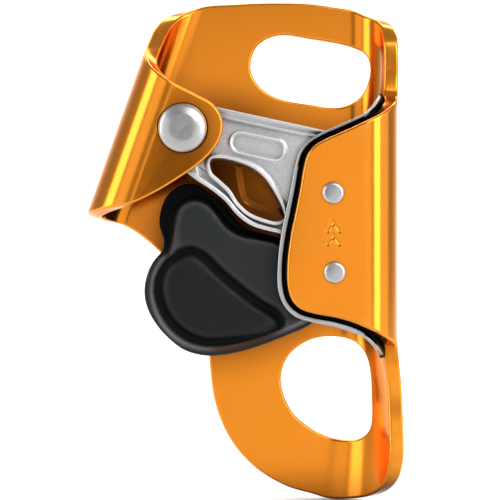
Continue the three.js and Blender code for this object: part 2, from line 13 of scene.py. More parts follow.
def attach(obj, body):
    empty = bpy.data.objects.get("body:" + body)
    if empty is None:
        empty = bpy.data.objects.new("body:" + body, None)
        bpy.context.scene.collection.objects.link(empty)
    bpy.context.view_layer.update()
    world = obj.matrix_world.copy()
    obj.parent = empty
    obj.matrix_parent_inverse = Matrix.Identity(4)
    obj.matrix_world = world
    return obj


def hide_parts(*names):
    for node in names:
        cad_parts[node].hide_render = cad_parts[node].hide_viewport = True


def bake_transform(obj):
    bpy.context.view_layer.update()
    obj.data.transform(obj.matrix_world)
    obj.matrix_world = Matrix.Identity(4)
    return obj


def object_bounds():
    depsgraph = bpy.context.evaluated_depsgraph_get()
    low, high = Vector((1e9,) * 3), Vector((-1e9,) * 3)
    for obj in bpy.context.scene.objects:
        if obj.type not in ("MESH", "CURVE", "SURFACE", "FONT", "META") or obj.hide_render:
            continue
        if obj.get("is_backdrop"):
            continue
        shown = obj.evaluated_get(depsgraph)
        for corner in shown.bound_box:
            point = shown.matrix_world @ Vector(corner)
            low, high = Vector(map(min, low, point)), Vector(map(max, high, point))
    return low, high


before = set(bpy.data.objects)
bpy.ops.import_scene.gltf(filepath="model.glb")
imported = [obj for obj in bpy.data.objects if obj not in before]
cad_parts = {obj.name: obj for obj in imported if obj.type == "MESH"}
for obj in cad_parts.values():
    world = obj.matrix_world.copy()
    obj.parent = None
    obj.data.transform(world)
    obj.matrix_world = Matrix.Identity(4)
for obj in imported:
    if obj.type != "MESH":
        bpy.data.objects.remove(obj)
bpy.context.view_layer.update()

# ---------------------------------------- driving dimensions, mm
MM = 0.001
HALF_PI = math.pi / 2

SHEET = 3.0  # thickness of the frame's sheet
MID = SHEET / 2
EDGE = 0.55  # rounding of its edges
GAP = 14.0  # clear depth between the back plate and the folded-over parts
FLAP_Y = -(SHEET + GAP)  # inner face of the flap and the tab
FACE_Y = FLAP_Y - SHEET  # their outer face
BREAK = 0.12  # width of the broken edge round a shallow cut
CLEARANCE = 0.15  # round the axle, at its ends in the sheet and in its washers

CHANNEL_WALL_X = 40.4  # inner face of the rope channel's side wall
HEEL_RADIUS = 6.5  # inner radius of the channel's first bend, from its top down to HEEL_TOP
HEEL_TOP = 20.0
HEEL_GROWTH = 6.5  # what that radius gains over HEEL_RUN below there
HEEL_RUN = 95.0
LIP_RADIUS = 4.5  # inner radius of its second bend, into the flap
FOOT_FLARE = (1.5, 42, 12)  # how far the wall leans out at its foot, how far down, over how much
HEAD_FLARE = (0.9, 3, 11)  # the same at its head
FLARE_DEPTH = 11.0  # distance in front of the plate at which the lean is full

FOLD_TILT = math.radians(19.5)  # of the left fold's bends, from upright
FOLD_RADIUS = 5.0  # inner radius of both its bends
FOLD_START = 4.83  # from the axle to the start of its first bend
TAB_LEAN = math.radians(3)  # how far the tab is bent past parallel to the plate

WEAR_SHEET = 1.0  # thickness of the wear plate
WEAR_GAP = 0.08  # between it and the frame's sheet
RELIEF_WIDTH = 1.05  # of the groove between the flap's edge and the wear plate's bead, blackened with painted shade
RELIEF_DEPTH = 0.5
RIVETS = [(30.1, -13.0), (30.4, -28.9)]
RIVET_RADIUS = 1.25
RIVET_HOLE_RADIUS = 1.35

AXLE_RADIUS = 3.0
AXLE_HEAD_RADIUS = 4.9
AXLE_HEAD = 2.1  # height of the head
REAR_END_RADIUS = 4.4  # of the axle's flush rear end
COUNTERSINK = 1.4  # depth of its cone
SEAT_DEPTH = 0.5  # of the flat seat under the axle's head
POCKET_DEPTH = 0.5  # of the pressing in the plate behind the cam
POCKET_SLOPE = 1.1  # width of the pressing's sloping side
ARROW_DEPTH = 0.18  # of the chevrons in the flap

CAM_FRONT = -15.2
CAM_REAR = -4.8
HUB_RADIUS = 5.8
WASHER = 0.4
WASHER_FRONTS = {"front": -16.3, "rear": -3.6}
PIN = (27.5, -29.5)
PIN_RADIUS = 1.25
CATCH_FRONT = -14.6
CATCH_SHOULDER = -9.6  # front of the low rim round the catch's raised face
CATCH_REAR = -4.7
CAM_COIL = (-7.1, -4.35)  # front and rear of each spring's coil
CATCH_COIL = (-8.75, -7.6)


# ---------------------------------------- loops of points
def smooth_loop(points, step):
    """A closed centripetal Catmull-Rom curve through the points, about one point per step."""
    p = np.array(points, float)
    out = []
    for i in range(len(p)):
        p0, p1, p2, p3 = (p[(i + k) % len(p)] for k in (-1, 0, 1, 2))
        d0, d1, d2 = (math.sqrt(np.linalg.norm(b - a)) for a, b in ((p0, p1), (p1, p2), (p2, p3)))
        m1 = ((p1 - p0) / d0 - (p2 - p0) / (d0 + d1) + (p2 - p1) / d1) * d1
        m2 = ((p2 - p1) / d1 - (p3 - p1) / (d1 + d2) + (p3 - p2) / d2) * d1
        count = max(2, math.ceil(np.linalg.norm(p2 - p1) / step))
        t = (np.arange(count) / count)[:, None]
        out.append(
            (2 * t**3 - 3 * t**2 + 1) * p1
            + (t**3 - 2 * t**2 + t) * m1
            + (3 * t**2 - 2 * t**3) * p2
            + (t**3 - t**2) * m2
        )
    return np.concatenate(out)


def polygon(points, step):
    """The same points joined by straight lines, divided to about one point per step."""
    p = np.array(points, float)
    out = []
    for a, b in zip(p, np.roll(p, -1, axis=0)):
        count = max(1, math.ceil(np.linalg.norm(b - a) / step))
        out.append(a + (b - a) * (np.arange(count) / count)[:, None])
    return np.concatenate(out)


def arc(centre, radius, start, end, count):
    a = np.radians(np.linspace(start, end, count))
    return np.stack([centre[0] + radius * np.cos(a), centre[1] + radius * np.sin(a)], 1)


def circle(centre, radius, count=48):
    return arc(centre, radius, 0, 360 * (1 - 1 / count), count)


def area(loop):
    x, y = loop.T
    return 0.5 * float(np.sum(x * np.roll(y, -1) - y * np.roll(x, -1)))


def turned_to(loop, sign):
    """The loop in the direction whose enclosed area has this sign."""
    return loop if area(loop) * sign > 0 else loop[::-1]


def left_of(loop):
    """Unit normals on the left of each point's direction of travel."""
    along = np.roll(loop, -1, axis=0) - np.roll(loop, 1, axis=0)
    along /= np.linalg.norm(along, axis=1)[:, None]
    return np.stack([-along[:, 1], along[:, 0]], 1)


def distance_to(loop, points, closed=True):
    """Distance from each point to a polyline."""
    a = loop if closed else loop[:-1]
    b = np.roll(loop, -1, axis=0) if closed else loop[1:]
    ab = b - a
    length2 = np.maximum((ab**2).sum(1), 1e-12)
    out = np.empty(len(points))
    for i in range(0, len(points), 2000):
        ap = points[i : i + 2000, None] - a
        t = np.clip((ap * ab).sum(2) / length2, 0, 1)
        out[i : i + 2000] = np.sqrt(((ap - t[:, :, None] * ab) ** 2).sum(2).min(1))
    return out


def inside(loops, points):
    """Whether each point is inside an odd number of the loops."""
    crossings = np.zeros(len(points), int)
    for loop in loops:
        a, b = loop, np.roll(loop, -1, axis=0)
        for i in range(0, len(points), 2000):
            p = points[i : i + 2000, None]
            spans = (a[:, 1] > p[..., 1]) != (b[:, 1] > p[..., 1])
            rise = np.where(b[:, 1] == a[:, 1], 1e-12, b[:, 1] - a[:, 1])
            x = a[:, 0] + (p[..., 1] - a[:, 1]) * (b[:, 0] - a[:, 0]) / rise
            crossings[i : i + 2000] += (spans & (p[..., 0] < x)).sum(1)
    return crossings % 2 == 1


def signed_distance(loop, points):
    """Distance to a closed loop, positive inside it."""
    return np.where(inside([loop], points), 1, -1) * distance_to(loop, points)


def ramp(x, width):
    """0 below 0, 1 above width, straight between."""
    return np.clip(x / width, 0, 1)


def moved_in(loop, by):
    """The loop moved towards its inside."""
    loop = turned_to(loop, 1)
    return loop + left_of(loop) * by


def lips(loop, width):
    """Creases that hold a step which falls from the loop over this width inside it."""
    return [moved_in(loop, by) for by in (-0.12, 0, width, width + 0.12)]


def step_up(x, width):
    """0 below 0, 1 above width, smooth between."""
    t = np.clip(x / width, 0, 1)
    return t * t * (3 - 2 * t)


def band(x, start, end, edge=0.25):
    """1 between start and end, 0 outside, with smooth edges inside the band."""
    return step_up(x - start, edge) * (1 - step_up(x - end + edge, edge))


# ---------------------------------------- sheet-metal bending
FOLD_OUT = np.array([-math.cos(FOLD_TILT), math.sin(FOLD_TILT)])
FOLD_UP = np.array([math.sin(FOLD_TILT), math.cos(FOLD_TILT)])
FOLD_BEND = HALF_PI * (FOLD_RADIUS + MID)
FOLD_WALL = FOLD_START + FOLD_BEND
FOLD_LIP = FOLD_WALL + GAP - 2 * FOLD_RADIUS
FOLD_TAB = FOLD_LIP + FOLD_BEND + TAB_LEAN * (FOLD_RADIUS + MID)


def stations(z):
    """Where each stretch of the rope channel starts, in blank coordinates, at a height."""
    down = np.maximum(0, (HEEL_TOP - np.asarray(z, float)) / HEEL_RUN)
    radius = HEEL_RADIUS + HEEL_GROWTH * down**2.4
    bend = CHANNEL_WALL_X - radius
    wall = bend + HALF_PI * (radius + MID)
    lip = wall + np.maximum(0.3, GAP - radius - LIP_RADIUS)
    return radius, bend, wall, lip, lip + HALF_PI * (LIP_RADIUS + MID)


def bend_channel(u, z, rise):
    """The blank folded round the rope channel: heel, side wall, lip and flap."""
    radius, bend, wall, lip, flap = stations(z)
    turn = CHANNEL_WALL_X - LIP_RADIUS
    heel_angle = (u - bend) / (radius + MID)
    lip_angle = (u - lip) / (LIP_RADIUS + MID)
    places = [u < wall, u < lip, u < flap]
    x = np.select(
        places,
        [
            bend + (radius + rise) * np.sin(heel_angle),
            CHANNEL_WALL_X + rise,
            turn + (LIP_RADIUS + rise) * np.cos(lip_angle),
        ],
        turn - (u - flap),
    )
    y = np.select(
        places,
        [
            -(SHEET + radius) + (radius + rise) * np.cos(heel_angle),
            -(SHEET + radius) - (u - wall),
            FLAP_Y + LIP_RADIUS - (LIP_RADIUS + rise) * np.sin(lip_angle),
        ],
        FLAP_Y - rise,
    )
    flare = FOOT_FLARE[0] * step_up(-z - FOOT_FLARE[1], FOOT_FLARE[2])
    flare += HEAD_FLARE[0] * step_up(z - HEAD_FLARE[1], HEAD_FLARE[2])
    return np.stack([x + flare * ramp(-y - SHEET, FLARE_DEPTH) ** 2, y, z], 1)


def bend_fold(n, v, rise):
    """The blank folded up and over on the left: first bend, wall, second bend and tab."""
    angle1 = (n - FOLD_START) / (FOLD_RADIUS + MID)
    angle2 = np.minimum(HALF_PI + TAB_LEAN, (n - FOLD_LIP) / (FOLD_RADIUS + MID))
    past = np.maximum(0, n - FOLD_TAB)
    radius = FOLD_RADIUS + rise
    places = [n < FOLD_WALL, n < FOLD_LIP]
    out = np.select(
        places,
        [FOLD_START + radius * np.sin(angle1), FOLD_START + radius],
        FOLD_START + radius * np.cos(angle2) - past * math.cos(TAB_LEAN),
    )
    y = np.select(
        places,
        [
            -(SHEET + FOLD_RADIUS) + radius * np.cos(angle1),
            -(SHEET + FOLD_RADIUS) - (n - FOLD_WALL),
        ],
        FLAP_Y + FOLD_RADIUS - radius * np.sin(angle2) + past * math.sin(TAB_LEAN),
    )
    return np.stack(
        [out * FOLD_OUT[0] + v * FOLD_UP[0], y, out * FOLD_OUT[1] + v * FOLD_UP[1]], 1
    )


def fold(u, v, rise):
    """Points of the flat blank, at a rise through the sheet, folded into place."""
    n = u * FOLD_OUT[0] + v * FOLD_OUT[1]
    flat = np.stack([u, rise - SHEET, v], 1)
    folded = bend_fold(n, u * FOLD_UP[0] + v * FOLD_UP[1], rise)
    channel = bend_channel(u, v, rise)
    in_fold = (n > FOLD_START)[:, None]
    in_channel = (u > stations(v)[1])[:, None]
    return np.where(in_fold, folded, np.where(in_channel, channel, flat))


def upright(u, v, rise):
    """No bend: a rise is straight towards the rear."""
    return np.stack([u, rise, v], 1)


# Blank coordinates of points that are given by where they are on the folded part: on the plate and
# the flap by x and z, on the fold by distances along the sheet out and up from the axle, in the heel
# and on the lip by degrees round the bend and z, and on the wall by the share of its depth and z.
def plate(*points):
    return list(points)


def on_fold(*points):
    return [tuple(n * FOLD_OUT + v * FOLD_UP) for n, v in points]


def on_heel(*points):
    places = [(stations(z), math.radians(d), z) for d, z in points]
    return [(float(s[1] + (s[0] + MID) * a), z) for s, a, z in places]


def on_wall(*points):
    places = [(stations(z), share, z) for share, z in points]
    return [(float(s[2] + (s[3] - s[2]) * share), z) for s, share, z in places]


def on_lip(*points):
    return [(float(stations(z)[3] + (LIP_RADIUS + MID) * math.radians(d)), z) for d, z in points]


def on_flap(*points):
    return [(float(stations(z)[4] + CHANNEL_WALL_X - LIP_RADIUS - x), z) for x, z in points]


def seen_in_heel(*points):
    """Points of the heel given by x and z, as they look from the front."""
    out = []
    for x, z in points:
        radius, bend = stations(z)[:2]
        past = max(0.0, float(x - bend))
        out += on_heel((math.degrees(math.asin(past / radius)), z)) if past else [(x, z)]
    return out


# ---------------------------------------- meshes
def make_mesh(name, points, faces, normals=None):
    mesh = bpy.data.meshes.new(name)
    mesh.from_pydata((np.asarray(points, float) * MM).tolist(), [], [list(f) for f in faces])
    mesh.validate()
    mesh.shade_smooth()
    if normals is not None:
        mesh.normals_split_custom_set_from_vertices(normals.tolist())
    made = bpy.data.objects.new(name, mesh)
    bpy.context.scene.collection.objects.link(made)
    return made


def placed_normals(place, u, v, rise, normals):
    """Normals given in blank coordinates, as they are after the blank is placed."""
    e = 1e-3
    ju = place(u + e, v, rise) - place(u - e, v, rise)
    jv = place(u, v + e, rise) - place(u, v - e, rise)
    jr = place(u, v, rise + e) - place(u, v, rise - e)
    out = (
        normals[:, :1] * np.cross(jv, jr)
        + normals[:, 1:2] * np.cross(jr, ju)
        + normals[:, 2:] * np.cross(ju, jv)
    )
    out *= np.sign((ju * np.cross(jv, jr)).sum(1))[:, None]
    return out / np.maximum(np.linalg.norm(out, axis=1), 1e-12)[:, None]


def fill(loops, creases, spacing):
    """Triangles that fill the loops, with a grid of points inside and edges along the creases."""
    edges, start = [], 0
    for loop in loops:
        ids = np.arange(start, start + len(loop))
        edges += list(zip(ids.tolist(), np.roll(ids, -1).tolist()))
        start += len(loop)
    lines = list(loops)
    for crease in creases:
        near = np.min([distance_to(loop, crease) for loop in loops], axis=0) < spacing * 0.3
        kept = inside(loops, crease) & ~near
        ids = np.where(kept, start + np.cumsum(kept) - 1, -1)
        edges += [(a, b) for a, b in zip(ids.tolist(), np.roll(ids, -1).tolist()) if min(a, b) >= 0]
        lines.append(crease[kept])
        start += int(kept.sum())
    low = np.min([loop.min(0) for loop in loops], axis=0)
    high = np.max([loop.max(0) for loop in loops], axis=0)
    u, v = np.meshgrid(*(np.arange(a, b, spacing) for a, b in zip(low, high)))
    grid = np.stack([u.ravel(), v.ravel()], 1)
    grid = grid[inside(loops, grid)]
    near = [distance_to(line, grid) for line in lines if len(line) > 1]
    clear = np.min(near, axis=0) > spacing * 0.55
    points = np.concatenate(lines + [grid[clear]])
    out = delaunay_2d_cdt([Vector(p) for p in points], edges, [], 0, 1e-5)
    where = np.array([tuple(p) for p in out[0]])
    index = np.empty(len(points), int)
    for i, originals in enumerate(out[3]):
        index[originals] = i
    triangles = np.array(out[2])
    triangles = triangles[inside(loops, where[triangles].mean(1))]
    return where, triangles, index


def panel(name, outline, holes, place, front, rear, spacing, edge, creases=(), steps=4, shade=None):
    """A plate with rounded edges. Front and rear give the rise of each face at (u, v) points, and
    shade, if given, a value from 0 to 1 at points and rises that the material darkens by."""
    loops = [turned_to(outline, 1)] + [turned_to(hole, -1) for hole in holes]
    inset = [loop + left_of(loop) * edge for loop in loops]
    flat, triangles, index = fill(inset, [np.asarray(c) for c in creases], spacing)
    where, rises, normals, faces = [], [], [], []

    def slopes(height, p, e=0.04):
        du = (height(p + [e, 0]) - height(p - [e, 0])) / (2 * e)
        dv = (height(p + [0, e]) - height(p - [0, e])) / (2 * e)
        return du, dv

    def add(points, rise, normal):
        where.append(points)
        rises.append(rise)
        normals.append(normal)
        return sum(len(w) for w in where) - len(points)

    starts = []
    for height, side in ((front, -1), (rear, 1)):
        du, dv = slopes(height, flat)
        normal = np.stack([-side * du, -side * dv, np.full(len(flat), float(side))], 1)
        starts.append(add(flat, height(flat), normal))
        faces.append(triangles + starts[-1])
    used = 0
    for loop in loops:
        out = -left_of(loop)
        columns = []
        for side, height in ((-1, front), (1, rear)):
            half = [starts[(side + 1) // 2] + index[used : used + len(loop)]]
            for j in range(steps - 1, -1, -1):
                angle = HALF_PI * j / steps
                p = loop - out * edge * (1 - math.cos(angle))
                rise = height(loop - out * edge) - side * edge * (1 - math.sin(angle))
                normal = np.concatenate(
                    [out * math.cos(angle), np.full((len(loop), 1), side * math.sin(angle))], 1
                )
                half.append(add(p, rise, normal) + np.arange(len(loop)))
            columns.append(half)
        ring = columns[0] + columns[1][::-1]
        for a, b in zip(ring, ring[1:]):
            quads = [a, b, np.roll(b, -1), np.roll(a, -1)]
            faces.append(np.stack(quads, 1))
        used += len(loop)
    uv = np.concatenate(where)
    rise = np.concatenate(rises)
    points = place(uv[:, 0], uv[:, 1], rise)
    normals = placed_normals(place, uv[:, 0], uv[:, 1], rise, np.concatenate(normals))
    turned = []
    for group in faces:
        a, b, c = (points[group[:, k]] for k in range(3))
        ok = (np.cross(b - a, c - a) * normals[group].mean(1)).sum(1) >= 0
        turned += [f if keep else f[::-1] for f, keep in zip(group.tolist(), ok)]
    made = make_mesh(name, points, turned, normals)
    blank = made.data.attributes.new("blank", "FLOAT_VECTOR", "POINT")
    blank.data.foreach_set("vector", (np.column_stack([uv, rise]) * MM).ravel())
    if shade:
        dark = made.data.attributes.new("shade", "FLOAT", "POINT")
        dark.data.foreach_set("value", shade(uv, rise))
    return made


def level(value):
    """A flat face at one rise."""
    return lambda p: np.full(len(p), float(value))


def turned_piece(name, profile, centre=(0, 0), count=96):
    """A solid of revolution about Y: profile pairs are radius and y; the ends are on the axis."""
    profile = np.array(profile, float)
    a = np.arange(count) * 2 * math.pi / count
    points = [[centre[0], profile[0, 1], centre[1]]]
    for radius, y in profile[1:-1]:
        x = centre[0] + radius * np.cos(a)
        z = centre[1] + radius * np.sin(a)
        points += np.stack([x, np.full(count, y), z], 1).tolist()
    points.append([centre[0], profile[-1, 1], centre[1]])
    last = len(points) - 1
    faces = []
    for k in range(count):
        m = (k + 1) % count
        faces.append((0, 1 + k, 1 + m))
        for j in range(len(profile) - 3):
            b = 1 + j * count
            faces.append((b + k, b + count + k, b + count + m, b + m))
        b = last - count
        faces.append((b + k, last, b + m))
    made = make_mesh(name, points, faces)
    made.data.set_sharp_from_angle(angle=math.radians(35))
    return made


def coil(name, centre, radius, ends, *, turns, start, legs, wire):
    """A spring about Y: a coil between two places in Y, with a straight leg at each end."""
    run = turns * 2 * math.pi * radius
    along = np.linspace(-legs[0], run + legs[1], int((run + sum(legs)) / 0.25))
    wound = np.clip(along, 0, run)
    angle = math.radians(start) + wound / radius
    past = along - wound
    path = np.stack(
        [
            centre[0] + radius * np.cos(angle) - past * np.sin(angle),
            ends[0] + (ends[1] - ends[0]) * wound / run,
            centre[1] + radius * np.sin(angle) + past * np.cos(angle),
        ],
        1,
    )
    ahead = np.gradient(path, axis=0)
    ahead /= np.linalg.norm(ahead, axis=1)[:, None]
    side = np.cross(ahead, [0, 1, 0])
    side /= np.linalg.norm(side, axis=1)[:, None]
    over = np.cross(side, ahead)
    sides = 12
    a = np.arange(sides) * 2 * math.pi / sides
    rings = path[:, None] + wire * (
        np.cos(a)[None, :, None] * side[:, None] + np.sin(a)[None, :, None] * over[:, None]
    )
    points = rings.reshape(-1, 3)
    faces = [tuple(range(sides))[::-1], tuple(range(len(points) - sides, len(points)))]
    for i in range(len(path) - 1):
        for k in range(sides):
            m = (k + 1) % sides
            b = i * sides
            faces.append((b + k, b + m, b + sides + m, b + sides + k))
    return make_mesh(name, points, faces)


# ---------------------------------------- frame
def frame_outline():
    points = (
        plate((4.2, 26.1), (10, 26.5), (18, 26.8), (26, 26.6), (31, 25.9))
        + on_heel((6, 25.3), (30, 24.0), (55, 22.9), (78, 20.9))
        + on_wall((0.15, 18), (0.35, 14.5), (0.45, 10.5), (0.8, 7.2))
        + on_lip((25, 5.2), (50, 3.5), (70, 2.2))
        + on_flap((35.3, 0.8), (32.0, -0.7), (28.6, -2.2), (26.4, -3.5), (25.0, -5.2), (24.3, -7.4))
        + on_flap((23.4, -12.5), (22.5, -17), (21.5, -22), (20.9, -27), (21.0, -31.8), (21.8, -34.4))
        + on_flap((23.6, -36.2), (26.2, -37.1), (31, -38.0), (34.6, -39.1))
        + on_lip((72, -40.6), (45, -42.2), (15, -44.0))
        + on_heel((92, -47.2), (88, -52), (88, -60), (86, -66), (77, -70.6), (62, -73.6))
        + on_heel((40, -75.4), (10, -75.8))
        + plate((26.5, -74.9), (21.3, -73.4), (15.7, -70.3), (11.4, -66.3), (8.3, -61.5))
        + plate((6.3, -56.1), (5.4, -50.8), (5.0, -46), (4.1, -40), (2.2, -34.5), (-1.0, -29.0))
        + plate((-5.1, -24.9), (-8.6, -21.8))
        + on_fold((5.5, -22.4), (11, -22.8), (17, -22.9), (21.6, -22.1), (25.5, -20.3))
        + on_fold((29.3, -17.9), (33.3, -14), (36.4, -10.2), (39.2, -6.4), (41.2, -2.6))
        + on_fold((41.9, 1.0), (41.0, 4.3), (38.4, 6.5), (34.2, 7.3))
        + on_fold((29.2, 8.0), (23.6, 10.1), (19.0, 13.6), (15.0, 17.7), (11.0, 21.5), (7.6, 24.1))
    )
    return smooth_loop(points, 0.9)


def eye_loops():
    upper = (
        plate((13.6, 13.4), (15.0, 17.8), (19.2, 20.0), (26.5, 19.2))
        + seen_in_heel((34.4, 17.6), (37.4, 15.6), (38.1, 12.4), (36.4, 7.6))
        + plate((32.2, 5.2), (25.6, 5.8), (18.9, 7.2), (15.0, 10.0))
    )
    lower = (
        plate((19.9, -51.4), (21.3, -46.6), (25.6, -43.2), (30.6, -42.3))
        + seen_in_heel((35.4, -43.7), (37.6, -47.4), (38.1, -54.5), (37.8, -60.8), (35.6, -63.4))
        + plate((31.0, -63.4), (26.2, -61.4), (22.0, -57.6))
    )
    return [smooth_loop(upper, 0.9), smooth_loop(lower, 0.9)]


def on_tab(x, z):
    """Blank coordinates of a point of the tab seen at (x, z)."""
    out, up = np.array([x, z]) @ FOLD_OUT, np.array([x, z]) @ FOLD_UP
    full = HALF_PI + TAB_LEAN
    start = FOLD_START + (FOLD_RADIUS + MID) * math.cos(full)
    return on_fold((FOLD_TAB + (start - out) / math.cos(TAB_LEAN), up))[0]


def arrow_loops():
    """Two small chevrons that point up the rope, cut into the flap."""
    loops = []
    for z in (-20.6, -23.2):
        outer = [(28.4, z), (30.2, z + 2.4), (32.0, z)]
        inner = [(31.3, z - 0.5), (30.2, z + 1.0), (29.1, z - 0.5)]
        loops.append(polygon(on_flap(*outer, *inner), 0.5))
    return loops


def there_and_back(line):
    """An open line as a closed crease."""
    return np.concatenate([line, line[-2:0:-1]])


def bend_lines():
    """Creases where the bends of the sheet start and end."""
    heights = np.arange(-77, 28, 0.9)
    lines = [np.stack([stations(heights)[i], heights], 1) for i in range(1, 5)]
    along = np.arange(-30, 30, 0.9)[:, None]
    lines += [n * FOLD_OUT + along * FOLD_UP for n in (FOLD_START, FOLD_WALL, FOLD_LIP, FOLD_TAB)]
    return [there_and_back(line) for line in lines]


POCKET = [(11.6, -3), (11.6, -13.2), (12.6, -14.8), (20.5, -17.2), (25.5, -17.8), (27, -16.4)]
POCKET += [(27.0, -4.5), (25.5, -3)]


def rivet_holes():
    return [circle(on_flap(centre)[0], RIVET_HOLE_RADIUS, 24) for centre in RIVETS]


def build_frame():
    head = np.array(on_tab(0, 0))
    seat_radius = AXLE_HEAD_RADIUS + CLEARANCE
    pocket = smooth_loop(POCKET, 0.9)
    arrows = arrow_loops()

    def inner(p):
        return POCKET_DEPTH * ramp(signed_distance(pocket, p), POCKET_SLOPE)

    def outer(p):
        seated = ramp(seat_radius - np.linalg.norm(p - head, axis=1), BREAK)
        cut = sum(ramp(signed_distance(loop, p), BREAK) for loop in arrows)
        return SHEET - SEAT_DEPTH * seated - ARROW_DEPTH * cut

    holes = eye_loops() + [circle((0, 0), REAR_END_RADIUS + CLEARANCE)]
    holes += [circle(head, AXLE_RADIUS + 0.1, 32)] + rivet_holes()
    creases = lips(circle(head, seat_radius, 72), BREAK) + lips(pocket, POCKET_SLOPE)
    for loop in arrows:
        creases += lips(loop, BREAK)[:3]
    creases += bend_lines()
    return panel("frame_sheet", frame_outline(), holes, fold, inner, outer, 1.15, EDGE, creases)


# ---------------------------------------- wear plate
def wear_outline():
    points = (
        plate((27.0, -6.5), (28.5, -3.6))
        + on_heel((0, -2.0), (45, 2.0))
        + on_wall((0, 6.0), (0.9, 7.3))
        + on_lip((35, 6.0), (65, 4.0))
        + on_flap((34.2, 2.0), (31.0, 0.6), (27.8, -0.8), (25.2, -2.4), (23.5, -4.4), (22.6, -7.2))
        + on_flap((21.7, -12.0), (20.7, -16.5), (19.7, -21.5), (19.1, -26.8), (19.1, -32.2))
        + on_flap((20.2, -35.4), (22.4, -37.7), (25.8, -38.9), (30.6, -39.9), (34.0, -41.0))
        + on_lip((70, -42.6), (35, -44.8))
        + on_wall((0.9, -46.3))
        + on_heel((80, -44.5), (45, -40), (5, -37.0))
        + plate((28.5, -36.0), (27.0, -33.5), (26.8, -20))
    )
    return smooth_loop(points, 0.9)


def build_wear_plate():
    """The liner of the channel, with a groove beside the flap's edge and a bead beyond it."""
    flap_edge = frame_outline()
    inner_rise = -WEAR_GAP - WEAR_SHEET

    def past_flap(p):
        return -signed_distance(flap_edge, p)

    def outer(p):
        across = ramp(past_flap(p), RELIEF_WIDTH)
        return -WEAR_GAP - RELIEF_DEPTH * np.sin(math.pi * across) ** 2

    # Painted shade: the face seen past the flap is blackened from under the flap's edge out to the bead.
    def shade(p, rise):
        covered = 1 - step_up(past_flap(p) - RELIEF_WIDTH + 0.1, 0.15)
        return covered * (rise > inner_rise + 0.1)

    shares = (0, 0.25, 0.5, 0.75, 0.9, 1, 1.15)
    creases = [moved_in(flap_edge, -RELIEF_WIDTH * share) for share in shares] + bend_lines()[:4]
    inner, holes = level(inner_rise), rivet_holes()
    return panel("wear_sheet", wear_outline(), holes, fold, inner, outer, 1.2, 0.3, creases, shade=shade)


# ---------------------------------------- cam
GRIP_ANGLE = math.radians(30)
NOSE_REACH = 38.7


def tooth_face(degrees_down, proud=0.0):
    """A point of the gripping face, a spiral round the axle, or of one that stands proud of it."""
    a = math.radians(degrees_down)
    r = NOSE_REACH / math.cos(GRIP_ANGLE) * math.exp(math.tan(GRIP_ANGLE) * (a - GRIP_ANGLE)) + proud
    return (r * math.cos(a), -r * math.sin(a))


CAM_BELLY = [(25.2, -24.2), (22.6, -22.3), (19.4, -21.1), (16.5, -20.4), (13.6, -19.4), (10.9, -17.4)]
CAM_BELLY += [(8.5, -14.6), (5.7, -12.3), (2.7, -10.3), (0.2, -8.2)]
CAM_WINDOW = [(5.6, -6.2), (7.6, -5.9), (10.6, -6.5), (13.9, -7.8), (16.4, -9.8), (18.4, -12.7)]
CAM_WINDOW += [(20.1, -16.1), (20.4, -17.9), (19.0, -18.6), (16.2, -18.0), (13.4, -16.8), (11.2, -14.8)]
CAM_WINDOW += [(9.5, -12.2), (7.4, -10.2), (5.7, -8.5)]
CROWN = np.array([(1.25, 5.66), (33.2, -1.25)])
BADGE = np.array([(11.6, -2.65), (18.6, -4.15)])  # ends of the plain raised ring's centre line
BADGE_RING = (1.7, 2.45)  # the ring's inner and outer distances from that line
BADGE_RELIEF = (0.12, 0.55)  # how far its floor is sunk and its ring is raised
CAM_RECESS = 0.75  # depth of the cam's face below its rims
CROWN_RIM = 0.6  # widths of the rims
BELLY_RIM = 0.8
WINDOW_RIM = 0.7
CROWN_BEAD = (1.3, 1.95)  # a second, lower bead beside the crown's rim
BEAD_HEIGHT = 0.5
GUTTER = (2.2, 0.4)  # how far from belly and window the face is lower still, and by how much
SOFT = 0.25  # width of the slopes beside rims, bead and ring
SLOPE = 0.3  # width of the rims' inner slopes along the belly and the window
NOSE_FRONT = (36.2, 2.6, 2.1)  # x where the nose starts to narrow, over how much, by how much
NOSE_REAR = (33.2, 5.6, 5.6)
SPRING_SEAT = (4.75, -7.6)  # radius and floor of the spring's seat in the rear of the hub
MUD_SLOT = [(33.2, -11.5), (50, -14), (50, -22), (35.2, -19.5), (33.6, -15.5)]
MUD_SLOT_Y = (-11.2, -8.8)
TAIL_Y = (-11.6, -9.2)  # front and rear of the thin tail that carries the catch


def cheek_arc():
    """The hollow in the cam that the catch's cheeks turn in."""
    return arc(PIN, 4.75, 4, 100, 9)


def cam_belly():
    """The cam's lower edge, from the hollow to the hub."""
    curve = smooth_loop([tuple(cheek_arc()[-1])] + CAM_BELLY + [(-2.0, -5.4)], 0.6)
    last = np.argmin(np.linalg.norm(curve - np.array(CAM_BELLY[-1]), axis=1))
    return curve[: last + 1]


def cam_outline():
    face = [tooth_face(2.4 + 33.6 * i / 24) for i in range(25)]
    hub = arc((0, 0), HUB_RADIUS, 235, 90, 24)
    lower = np.concatenate([cheek_arc()[:-1], cam_belly()[:-1], hub])
    return polygon(CROWN.tolist() + face + [(37.4, -29.6), (33.9, -29.6)] + lower.tolist(), 0.8)


